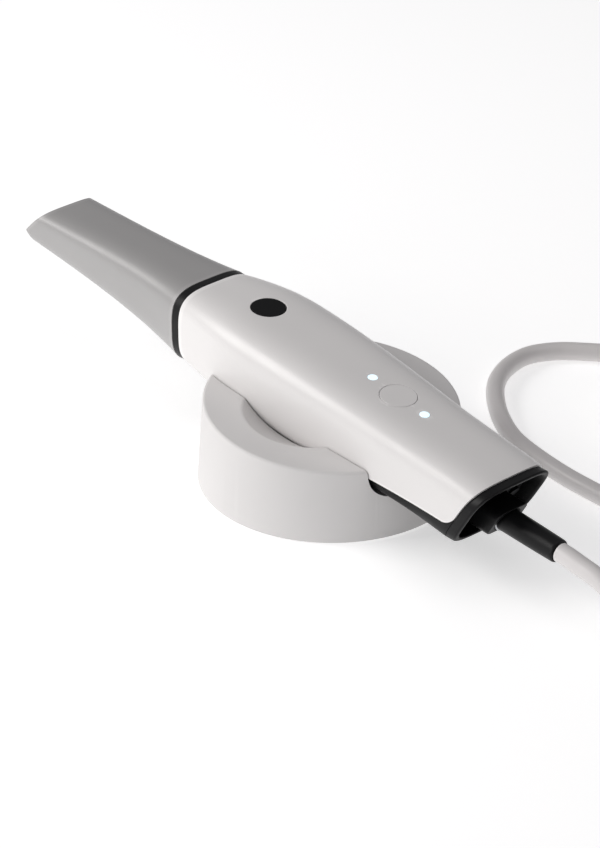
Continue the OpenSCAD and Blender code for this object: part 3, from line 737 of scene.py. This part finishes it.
lower = wrap("lower_cover", [lower_ring(x) for x in body_xs])
change(lower, "SOLIDIFY", thickness=SHELL_WALL * MM, offset=-1, use_even_offset=True)
for x in WELL_XS:
    for side in (-WELL_Y, WELL_Y):
        well = stack("screw_well", [(WELL_R, -WELL_REACH), (WELL_R, WELL_REACH)], 32)
        settle(well, Matrix.Translation(Vector((x, side, body_low(x))) * MM))
        cut(lower, well)
soften(lower, 0.3, 3, 60)
dress(lower, black_body, "handpiece", ["lower_shell"])
print("lower cover:", len(lower.data.polygons), "faces")

# %% [markdown]
# ## Black rim at the cable end
# A deep frame closes the cable end, with a soft outer edge and a recess inside it. Its cross-section is
# drawn once as a short closed profile, and each ring of the grid is the body's own section at that inset
# and place.

# %% Rear rim
LOOP_COUNT = 128
PANEL_X = RIM_X - 5.6
RIM_STEP, RIM_ROUND = 0.6, 0.9
RIM_LAP, RIM_LAP_IN, RIM_INNER = 6, 2.6, 3.7


def profile_tube(name, profile):
    """A closed ring of material: each step of the profile is a place along X and an inset."""
    rings = [loop(min(x, BODY_REAR), inset, LOOP_COUNT, max(0, x - BODY_REAR)) for x, inset in profile]
    return wrap(name, rings + [rings[0]])


rim_edge = [(RIM_X - RIM_ROUND + RIM_ROUND * sin(radians(a)), RIM_STEP + RIM_ROUND * (1 - cos(radians(a))))
            for a in range(0, 91, 15)]
rim = profile_tube("rear_frame", [
    (BODY_REAR - RIM_LAP, RIM_LAP_IN), (BODY_REAR + 0.1, RIM_LAP_IN), (BODY_REAR + 0.1, RIM_STEP + 0.15),
    (BODY_REAR + 0.25, RIM_STEP), *rim_edge, (RIM_X - 0.05, 1.8), (RIM_X - 0.3, 2.1), (RIM_X - 0.8, 2.3),
    (PANEL_X - 2, RIM_INNER), (BODY_REAR - RIM_LAP, RIM_INNER)])
smooth(rim, 50)
dress(rim, black_body, "handpiece", ["rear_rim"])
print("rear frame:", len(rim.data.polygons), "faces")

# %% [markdown]
# ## Connector collar, nose and grip
# The cable plugs into a square-shouldered collar whose mouth is cut at the slant of the body's end. A cube
# becomes the collar: its long edges are bevelled, the bore is cut and the mouth is sliced with a bisect. The
# plug's steel nose and its tapered black grip are grown from discs.

# %% Collar
EXIT = Vector((85, 0, 20.9))
EXIT_TILT = 3.3
exit_place = Matrix.Translation(EXIT * MM) @ Matrix.Rotation(radians(90 + EXIT_TILT), 4, "Y")
PORT_W, PORT_H, PORT_LEN = 13.6, 11.0, 10.5
PORT_CORNER, PORT_EDGE, PORT_SPARE = 2.6, 0.45, 6
NOSE_R, GRIP_R, GRIP_LEN = 4.8, 4.3, 24.0

bpy.ops.object.select_all(action="DESELECT")
bpy.ops.mesh.primitive_cube_add(size=1, location=(0, 0, (PORT_SPARE - PORT_LEN) / 2 * MM),
                                scale=(PORT_H * MM, PORT_W * MM, (PORT_LEN + PORT_SPARE) * MM))
bpy.ops.object.transform_apply(location=True, rotation=True, scale=True)
collar = new_piece("connector_housing")
bpy.ops.object.mode_set(mode="EDIT")
bpy.ops.mesh.select_mode(type="EDGE")
bpy.ops.mesh.select_all(action="DESELECT")
bpy.ops.object.mode_set(mode="OBJECT")
for edge in collar.data.edges:
    a, b = (collar.data.vertices[v].co for v in edge.vertices)
    edge.select = abs(a.z - b.z) > MM
bpy.ops.object.mode_set(mode="EDIT")
bpy.ops.mesh.bevel(offset=PORT_CORNER * MM, segments=8, affect="EDGES")
bpy.ops.object.mode_set(mode="OBJECT")
bore = stack("bore", [(NOSE_R + 0.15, -PORT_LEN - 2), (NOSE_R + 0.15, 12)], 64)
cut(collar, bore)
settle(collar, exit_place)
bpy.ops.object.mode_set(mode="EDIT")
bpy.ops.mesh.select_all(action="SELECT")
mouth = atan(END_LEAN)
bpy.ops.mesh.bisect(plane_co=EXIT * MM, plane_no=(cos(mouth), 0, -sin(mouth)),
                    use_fill=True, clear_outer=True)
bpy.ops.object.mode_set(mode="OBJECT")
tidy(collar)
soften(collar, PORT_EDGE, 4, 40)
dress(collar, black_body, "handpiece", ["connector_collar"])
print("collar:", len(collar.data.polygons), "faces")

# %% Steel nose and black grip
nose = stack("plug_nose_ring", [
    (NOSE_R, -10), (NOSE_R, -1.0), (NOSE_R - 0.12, -0.75), (NOSE_R - 0.4, -0.6), (GRIP_R + 0.1, -0.6)])
settle(nose, exit_place)
smooth(nose)
dress(nose, plug_steel, "handpiece", ["plug_nose"])

grip_end = GRIP_LEN - 0.6
grip = stack("plug_sleeve", [
    (GRIP_R - 0.3, -0.9), (GRIP_R, -0.6), (GRIP_R, 1.5), (GRIP_R - 0.05, 8), (GRIP_R - 0.15, 16),
    (GRIP_R - 0.25, grip_end - 0.7), (GRIP_R - 0.4, grip_end - 0.2), (GRIP_R - 0.7, grip_end),
    (CORD_D / 2 + 0.02, grip_end + 0.05), (CORD_D / 2 + 0.02, grip_end - 1)])
settle(grip, exit_place)
smooth(grip)
dress(grip, grip_black, "handpiece", ["plug_grip"])
print("grip ends", round(grip_end, 1), "mm from the collar's mouth")

# %% [markdown]
# ## Grey tip
# The removable tip is a long sleeve that narrows towards its end. Its end slopes at 45 degrees to carry the
# mirror, and a window underneath lets the camera look down. The grid is wrapped round the sleeve with its
# first ring lying in that slope, the end is closed with flat faces, and the wall and the window follow.

# %% Tip sleeve
TIP_SLOPE_X = TIP_X + 9.5
NOSE_Z = 41.3
UNDERCUT = 0.75
TIP_ALONG = 70
TURN_STEPS = 4000


def end_x(z):
    """Where the tip ends at a height: a 45 degree slope above, and a short cut back below."""
    if z >= NOSE_Z:
        return TIP_SLOPE_X - (TIP_TOP - z)
    return TIP_SLOPE_X - (TIP_TOP - NOSE_Z) + UNDERCUT * (NOSE_Z - z)


def angle_table(x, count):
    """Angles of evenly spaced points of the section at x, starting at the top."""
    fine = [pi / 2 + 2 * pi * i / TURN_STEPS for i in range(TURN_STEPS + 1)]
    points = [section_point(x, 0, a) for a in fine]
    reach = [0.0]
    for a, b in zip(points, points[1:]):
        reach.append(reach[-1] + (b - a).length)
    table, k = [], 0
    for i in range(count + 1):
        want = reach[-1] * i / count
        while k < TURN_STEPS - 1 and reach[k + 1] < want:
            k += 1
        share = (want - reach[k]) / max(1e-9, reach[k + 1] - reach[k])
        table.append(fine[k] + (fine[1] - fine[0]) * share)
    return table


tip_angles = angle_table(TIP_X + 10, LOOP_COUNT)


def tip_point(a, share):
    """A point of the sleeve: share goes from its sloping end to the collar."""
    start = TIP_X + 5
    for _ in range(6):
        start = end_x(section_point(max(start, TIP_X), 0, a).z)
    x = start + (COLLAR_X - start) * share
    return section_point(min(x, COLLAR_X - 0.01), 0, a)


tip = wrap("tip_cover", [[tip_point(a, j / TIP_ALONG) for a in tip_angles] for j in range(TIP_ALONG + 1)])

# The open end is closed with flat faces from one side to the other
shape = bmesh.new()
shape.from_mesh(tip.data)
end_ring = [v for v in shape.verts if v.is_boundary and v.co.x < (TIP_X + 20) * MM]
left = sorted((v for v in end_ring if v.co.y > 1e-6), key=lambda v: -v.co.z)
right = sorted((v for v in end_ring if v.co.y < -1e-6), key=lambda v: -v.co.z)
middle = sorted((v for v in end_ring if abs(v.co.y) <= 1e-6), key=lambda v: -v.co.z)
shape.faces.new((middle[0], left[0], right[0]))
for k in range(len(left) - 1):
    shape.faces.new((left[k], left[k + 1], right[k + 1], right[k]))
shape.faces.new((middle[-1], right[-1], left[-1]))
shape.to_mesh(tip.data)
shape.free()
tidy(tip)
TIP_WALL, TIP_EDGE = 1.6, 0.55
change(tip, "SOLIDIFY", thickness=TIP_WALL * MM, offset=-1, use_even_offset=True)
soften(tip, TIP_EDGE, 3, 32)
print("tip:", len(tip.data.polygons), "faces, ring", len(left), len(right), len(middle))

# %% Window in the tip
WINDOW_LEN, WINDOW_W, WINDOW_CUT = 17.0, 18.0, 9
WINDOW_X, WINDOW_ROUND = TIP_X + 4.8, 2
bpy.ops.object.select_all(action="DESELECT")
bpy.ops.mesh.primitive_cube_add(size=1, scale=(WINDOW_LEN * MM, WINDOW_W * MM, WINDOW_CUT * MM),
                                location=((WINDOW_X + WINDOW_LEN / 2) * MM, 0, (TIP_LOW - 1.5) * MM))
bpy.ops.object.transform_apply(location=True, rotation=True, scale=True)
window_cutter = new_piece("window_cutter")
change(window_cutter, "BEVEL", width=WINDOW_ROUND * MM, segments=6)
cut(tip, window_cutter)
smooth(tip, 32)
dress(tip, tip_grey, "tip", ["tip_sleeve"])
print("tip with window:", len(tip.data.polygons), "faces")

# %% [markdown]
# ## Black collar and the spigot that holds the tip
# A narrow black collar parts the grey tip from the white body. A spigot reaches from it into the tip, and
# shows when the tip is pulled off. Both are closed profiles swept round the section, as the rear frame is.

# %% Collar and spigot
RING_IN, RING_EDGE, RING_DEEP = 0.1, 0.2, 3.75
ring_x = COLLAR_X + 0.1
corner = RING_EDGE * 0.3
ring = profile_tube("tip_ring", [
    (ring_x, RING_IN + RING_EDGE), (ring_x + corner, RING_IN + corner), (ring_x + RING_EDGE, RING_IN),
    (FRONT_X - RING_EDGE, RING_IN), (FRONT_X - corner, RING_IN + corner), (FRONT_X, RING_IN + RING_EDGE),
    (FRONT_X, RING_DEEP), (ring_x, RING_DEEP)])
smooth(ring, 50)
dress(ring, black_body, "handpiece", ["tip_collar"])

SPIGOT_IN, SPIGOT_LEN, SPIGOT_WALL, GROOVE_IN = TIP_WALL + 0.35, 24, 1.8, 0.5
spigot_x = COLLAR_X - SPIGOT_LEN
spigot = profile_tube("nose_sleeve", [
    (spigot_x, SPIGOT_IN + 1.0), (spigot_x + 0.8, SPIGOT_IN + 0.3), (spigot_x + 2, SPIGOT_IN),
    (spigot_x + 8, SPIGOT_IN), (spigot_x + 8.3, SPIGOT_IN + GROOVE_IN),
    (spigot_x + 10.5, SPIGOT_IN + GROOVE_IN), (spigot_x + 10.8, SPIGOT_IN), (COLLAR_X, SPIGOT_IN),
    (COLLAR_X, SPIGOT_IN + SPIGOT_WALL), (spigot_x, SPIGOT_IN + SPIGOT_WALL)])
smooth(spigot, 40)
dress(spigot, black_body, "handpiece", ["nose_spigot"])
print("collar and spigot:", len(ring.data.polygons), len(spigot.data.polygons), "faces")

# %% [markdown]
# ## Buttons and lights
# The scan button is a plain black disc, flush with the back. The function button is the colour of the shell,
# and only its fine groove shows. The lights are small frosted windows. All are grown from discs with rounded
# edges.

# %% Buttons
STEM_R, STEM_LOW = 1.5, -4.4
SKIRT_OUT, SKIRT_LOW, SKIRT_TOP = 0.7, -3.6, -2.4


def button(name, radius, edge):
    """A cap with a rounded edge, a skirt under it and a stem for the switch."""
    top = [(radius - edge * (1 - cos(radians(a))), -edge * (1 - sin(radians(a)))) for a in (0, 30, 60, 90)]
    skirt = radius + SKIRT_OUT
    return stack(name, [(STEM_R, STEM_LOW), (STEM_R, SKIRT_LOW), (skirt, SKIRT_LOW), (skirt, SKIRT_TOP),
                        (radius, SKIRT_TOP), *top, (radius * 0.6, 0.0)])


scan = button("scan_cap", SCAN_R, 0.2)
settle(scan, on_back(SCAN_X, SCAN_TILT))
smooth(scan)
dress(scan, button_black, "scan_key", ["scan_button"])

function = button("function_cap", FUNCTION_R, 0.18)
settle(function, on_back(FUNCTION_X, FUNCTION_TILT))
smooth(function)
dress(function, white_shell, "function_key", ["function_button"])

# %% Lights
lamps = []
for side in (-1, 1):
    lamp = stack("light_front" if side < 0 else "light_rear",
                 [(LIGHT_R, -5), (LIGHT_R, -0.08), (LIGHT_R - 0.08, 0.0), (LIGHT_R * 0.6, 0.04)], 48)
    settle(lamp, on_back(FUNCTION_X, FUNCTION_TILT, side * LIGHT_SPACING))
    smooth(lamp)
    dress(lamp, light_window, "handpiece")
    lamps.append(lamp)
for lamp in lamps:
    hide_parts("status_lights")
print("buttons and lights:", [scan.name, function.name] + [lamp.name for lamp in lamps])

# %% [markdown]
# ## Cradle
# The cradle is a thick round block. A cylinder is scaled in at the top for its draft, sliced at the gentle
# slope of its top face and given a rounded rim. The trough is the handpiece's own section, a little larger,
# and two shallow bowls make the finger hollows, with lips that roll over into the top. Booleans take them
# all away.

# %% Cradle block
CRADLE_H, CRADLE_FALL, CRADLE_DRAFT = 28.7, 0.07, 0.069
FOOT_OUT = reach_of("cradle_shell", 2)[0]
CRADLE_WALL, CAVITY_H = 3.2, 11.0
CRADLE_ROUND, FOOT_ROUND = 0.95, 0.3
BLANK_H = CRADLE_H + CRADLE_FALL * CRADLE_R + 1
TROUGH_GAP, TROUGH_END, TROUGH_RINGS = 0.4, 52, 40
SCOOP_R, SCOOP_DEPTH, SCOOP_Y, SCOOP_LIP = 34.5, 8.8, 9.3, 2.3

low_r, top_r = CRADLE_R - CRADLE_DRAFT * FOOT_OUT, CRADLE_R - CRADLE_DRAFT * BLANK_H
cradle = stack("cradle_body", [
    (low_r - FOOT_ROUND, FOOT_OUT), (low_r - FOOT_ROUND * 0.3, FOOT_OUT + FOOT_ROUND * 0.3),
    (low_r, FOOT_OUT + FOOT_ROUND), (top_r, BLANK_H)], 180)
only(cradle)
bpy.ops.object.mode_set(mode="EDIT")
bpy.ops.mesh.select_all(action="SELECT")
slope = Vector((CRADLE_FALL, 0, 1)).normalized()
bpy.ops.mesh.bisect(plane_co=(0, 0, CRADLE_H * MM), plane_no=slope, use_fill=True, clear_outer=True)
bpy.ops.mesh.select_all(action="DESELECT")
bpy.ops.object.mode_set(mode="OBJECT")
for edge in cradle.data.edges:
    ends = [cradle.data.vertices[v].co for v in edge.vertices]
    edge.select = all(abs(p.z + CRADLE_FALL * p.x - CRADLE_H * MM) < 1e-6 for p in ends)
bpy.ops.object.mode_set(mode="EDIT")
bpy.ops.mesh.select_mode(type="EDGE")
bpy.ops.mesh.bevel(offset=CRADLE_ROUND * MM, segments=5, affect="EDGES")
bpy.ops.object.mode_set(mode="OBJECT")
print("cradle block:", len(cradle.data.polygons), "faces")


# %% Trough and finger scoops
def trough_ring(x):
    """The handpiece's section under its widest height, and straight sides above it."""
    half, top, low = outline(x, -TROUGH_GAP)
    line = [section_point(x, -TROUGH_GAP, pi + pi * i / FINE) for i in range(FINE + 1)]
    under = [Vector((x, p.y, p.z)) for p in even(line, 60)]
    high = (top + low) / 2 + 30
    return under + [Vector((x, half, high)), Vector((x, -half, high)), under[0]]


def scoop_steps():
    """A shallow bowl whose lip rolls over into the top face."""
    centre = SCOOP_R - SCOOP_DEPTH
    lip_out = sqrt((SCOOP_R + SCOOP_LIP) ** 2 - (centre + SCOOP_LIP) ** 2)
    meet = atan2(lip_out, centre + SCOOP_LIP)
    steps = []
    for k in range(1, 25):
        turn = meet * k / 24
        steps.append((SCOOP_R * sin(turn), centre - SCOOP_R * cos(turn)))
    first = atan2(centre + SCOOP_LIP, -lip_out)
    for k in range(1, 9):
        turn = first + (pi / 2 - first) * k / 8
        steps.append((lip_out + SCOOP_LIP * cos(turn), SCOOP_LIP * (sin(turn) - 1)))
    return steps + [(lip_out + 3, 0.4), (lip_out + 3, 10)]


trough = wrap("trough", [trough_ring(TROUGH_END * (2 * i / TROUGH_RINGS - 1))
                         for i in range(TROUGH_RINGS + 1)])
only(trough)
bpy.ops.object.mode_set(mode="EDIT")
bpy.ops.mesh.select_all(action="SELECT")
bpy.ops.mesh.fill_holes(sides=0)
bpy.ops.mesh.normals_make_consistent(inside=False)
bpy.ops.object.mode_set(mode="OBJECT")
scoops = []
for side in (-1, 1):
    scoop = stack("scoop", scoop_steps(), 128)
    lean = Matrix.Rotation(atan(CRADLE_FALL), 4, "Y")
    middle = Vector((0, side * SCOOP_Y, CRADLE_H)) * MM
    settle(scoop, Matrix.Translation(middle) @ lean)
    scoops.append(scoop)
cavity = stack("cavity", [(CRADLE_R - CRADLE_WALL, -1), (CRADLE_R - CRADLE_WALL, CAVITY_H)], 128)
cut(cradle, trough, *scoops, cavity)
tidy(cradle)
soften(cradle, 0.3, 3, 38)
dress(cradle, cradle_white, "cradle", ["cradle_shell"])
print("cradle:", len(cradle.data.polygons), "faces")

# %% [markdown]
# ## Strap, strain relief and plug on the cable
# A soft strap holds the coil. The far end of the cable runs through a ribbed strain relief into a USB plug
# with a pressed steel shell.

# %% Strap round the coil
TIE_W, TIE_T, TIE_ROUND = 9.0, 0.8, 4.0
tie_low, tie_high = (Vector(corner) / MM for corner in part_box("cord_tie"))


def strap_ring(inset):
    """A rounded rectangle round the coil, as seen along the cable."""
    half = Vector(((tie_high.x - tie_low.x) / 2 - inset, 0, (tie_high.z - tie_low.z) / 2 - inset))
    middle = (tie_high + tie_low) / 2
    round_r = TIE_ROUND - inset
    points = []
    for sx, sz, start in ((1, 1, 0), (-1, 1, 90), (-1, -1, 180), (1, -1, 270)):
        for a in range(0, 91, 10):
            turn = radians(start + a)
            points.append(middle + Vector((sx * (half.x - round_r) + round_r * cos(turn), 0,
                                           sz * (half.z - round_r) + round_r * sin(turn))))
    return points + [points[0]]


strap_profile = [(0.25, -TIE_W / 2), (0, -TIE_W / 2 + 0.3), (0, TIE_W / 2 - 0.3), (0.25, TIE_W / 2),
                 (TIE_T, TIE_W / 2), (TIE_T, -TIE_W / 2), (0.25, -TIE_W / 2)]
strap = wrap("coil_strap", [[p + Vector((0, y, 0)) for p in strap_ring(inset)]
                            for inset, y in strap_profile])
smooth(strap, 40)
dress(strap, strap_weave, "cradle", ["cord_tie"])

# %% Strain relief and plug
USB_Z = 4.25
RIB_COUNT, RIB_FIRST, RIB_PITCH = 6, 0.6, 2.2
RIB_LEN, RIB_DEPTH, RIB_GROWS = 1.3, 0.45, 0.08
RELIEF_R, RELIEF_LEN = 4.1, 14.0
GRIP_LINES, LINE_R, LINE_FIRST, LINE_PITCH = 5, 0.45, 6, 2

usb_place = Matrix.Translation(Vector((END_X, CORD_END_Y, USB_Z)) * MM) @ Matrix.Rotation(radians(90), 4, "X")
relief_steps = [(CORD_D / 2 + 0.05, 0), (CORD_D / 2 + 0.3, 0.3)]
for k in range(RIB_COUNT):
    start = RIB_FIRST + k * RIB_PITCH
    radius = CORD_D / 2 + 0.3 + RIB_GROWS * k
    relief_steps += [(radius, start), (radius, start + RIB_LEN), (radius - RIB_DEPTH, start + RIB_LEN + 0.2),
                     (radius - RIB_DEPTH, start + RIB_PITCH - 0.2)]
relief_steps += [(RELIEF_R, RELIEF_LEN - 0.2), (RELIEF_R, RELIEF_LEN)]
relief = stack("plug_relief", relief_steps, 48)
settle(relief, usb_place)
smooth(relief)
dress(relief, grip_black, "cradle", ["usb_relief"])


def box_piece(name, node, round_mm, steps):
    """A rounded block that fills a CAD node's box."""
    low, high = (Vector(corner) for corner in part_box(node))
    bpy.ops.object.select_all(action="DESELECT")
    bpy.ops.mesh.primitive_cube_add(size=1, location=(low + high) / 2, scale=high - low)
    bpy.ops.object.transform_apply(location=True, rotation=True, scale=True)
    piece = new_piece(name)
    change(piece, "BEVEL", width=round_mm * MM, segments=steps)
    return piece


plug_body = box_piece("plug_body", "usb_plug", 1.9, 6)
plug_low, plug_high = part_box("usb_plug")
for side in (-1, 1):
    edge_x = (plug_low[0] if side < 0 else plug_high[0]) / MM
    for k in range(GRIP_LINES):
        groove = stack("groove", [(LINE_R, -3), (LINE_R, 3)], 24)
        line_y = plug_low[1] / MM + LINE_FIRST + LINE_PITCH * k
        settle(groove, Matrix.Translation(Vector((edge_x, line_y, USB_Z)) * MM))
        cut(plug_body, groove)
smooth(plug_body, 30)
dress(plug_body, grip_black, "cradle", ["usb_plug"])

shell = box_piece("plug_shell", "usb_shell", 0.4, 3)
mouth_cutter = box_piece("mouth", "usb_shell", 0.2, 2)
MOUTH_SHARE_X, MOUTH_SHARE_Z, MOUTH_PAST = 0.93, 0.84, 1.0
to_mouth = Matrix.Translation(Vector((END_X, -MOUTH_PAST, USB_Z)) * MM)
from_axis = Matrix.Translation(Vector((-END_X, 0, -USB_Z)) * MM)
settle(mouth_cutter, to_mouth @ Matrix.Diagonal((MOUTH_SHARE_X, 1, MOUTH_SHARE_Z, 1)) @ from_axis)
cut(shell, mouth_cutter)
smooth(shell, 30)
dress(shell, plug_steel, "cradle", ["usb_shell"])
print("plug pieces:", relief.name, plug_body.name, shell.name)

# %% The cable's finish, with the CAD cord hidden
dress(cable, cable_grey, nodes=["cord_tube", "cord_coil"])
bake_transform(cable)

# %% [markdown]
# ## CAD parts that stay
# The parts inside, and the small ones that are already the right shape, keep their CAD meshes and get a
# finish.

# %% Finishes for the CAD parts
kept = {
    "cradle_base_plate": plate_grey, "cradle_ballast": weight_steel, "cradle_screws": screw_steel,
    "foot_pad": foot_rubber, "shell_screws": screw_steel, "end_panel": recess_black,
    "panel_screw": black_screw, "nose_window": window_glass, "tip_mirror": mirror_face,
    "scan_board": board_green, "function_board": board_green, "scan_switch": screw_steel,
    "function_switch": screw_steel, "optical_bench": bench_aluminium, "projector_module": plate_grey,
    "projector_lens": lens_black, "left_camera": plate_grey, "right_camera": plate_grey,
    "left_lens": lens_black, "right_lens": lens_black, "main_board": board_green,
    "heat_sink": bench_aluminium, "usb_socket": plug_steel,
}
for name, finish in kept.items():
    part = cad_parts[name]
    if not part.material_slots:
        part.data.materials.append(finish)
    for place in part.material_slots:
        place.material = finish
print("CAD parts kept:", len(kept))

# %% [markdown]
# ## Floor
# A plain pale floor, large enough to fill the view. It glows a little, as a lit white table does.

# %% Floor
bpy.ops.object.select_all(action="DESELECT")
bpy.ops.mesh.primitive_plane_add(size=6, location=(0, 0, 0))
floor = new_piece("floor")
floor_white, nodes, links, shader, where = start_material("floor_white")
links.new(shades(nodes, links, noise(nodes, links, where, 400), (0.86, 0.86, 0.86), (0.84, 0.84, 0.845)),
          shader.inputs["Base Color"])
shader.inputs["Roughness"].default_value = 0.9
shader.inputs["Emission Color"].default_value = (1, 1, 1, 1)
shader.inputs["Emission Strength"].default_value = 0.45
floor.data.materials.append(floor_white)
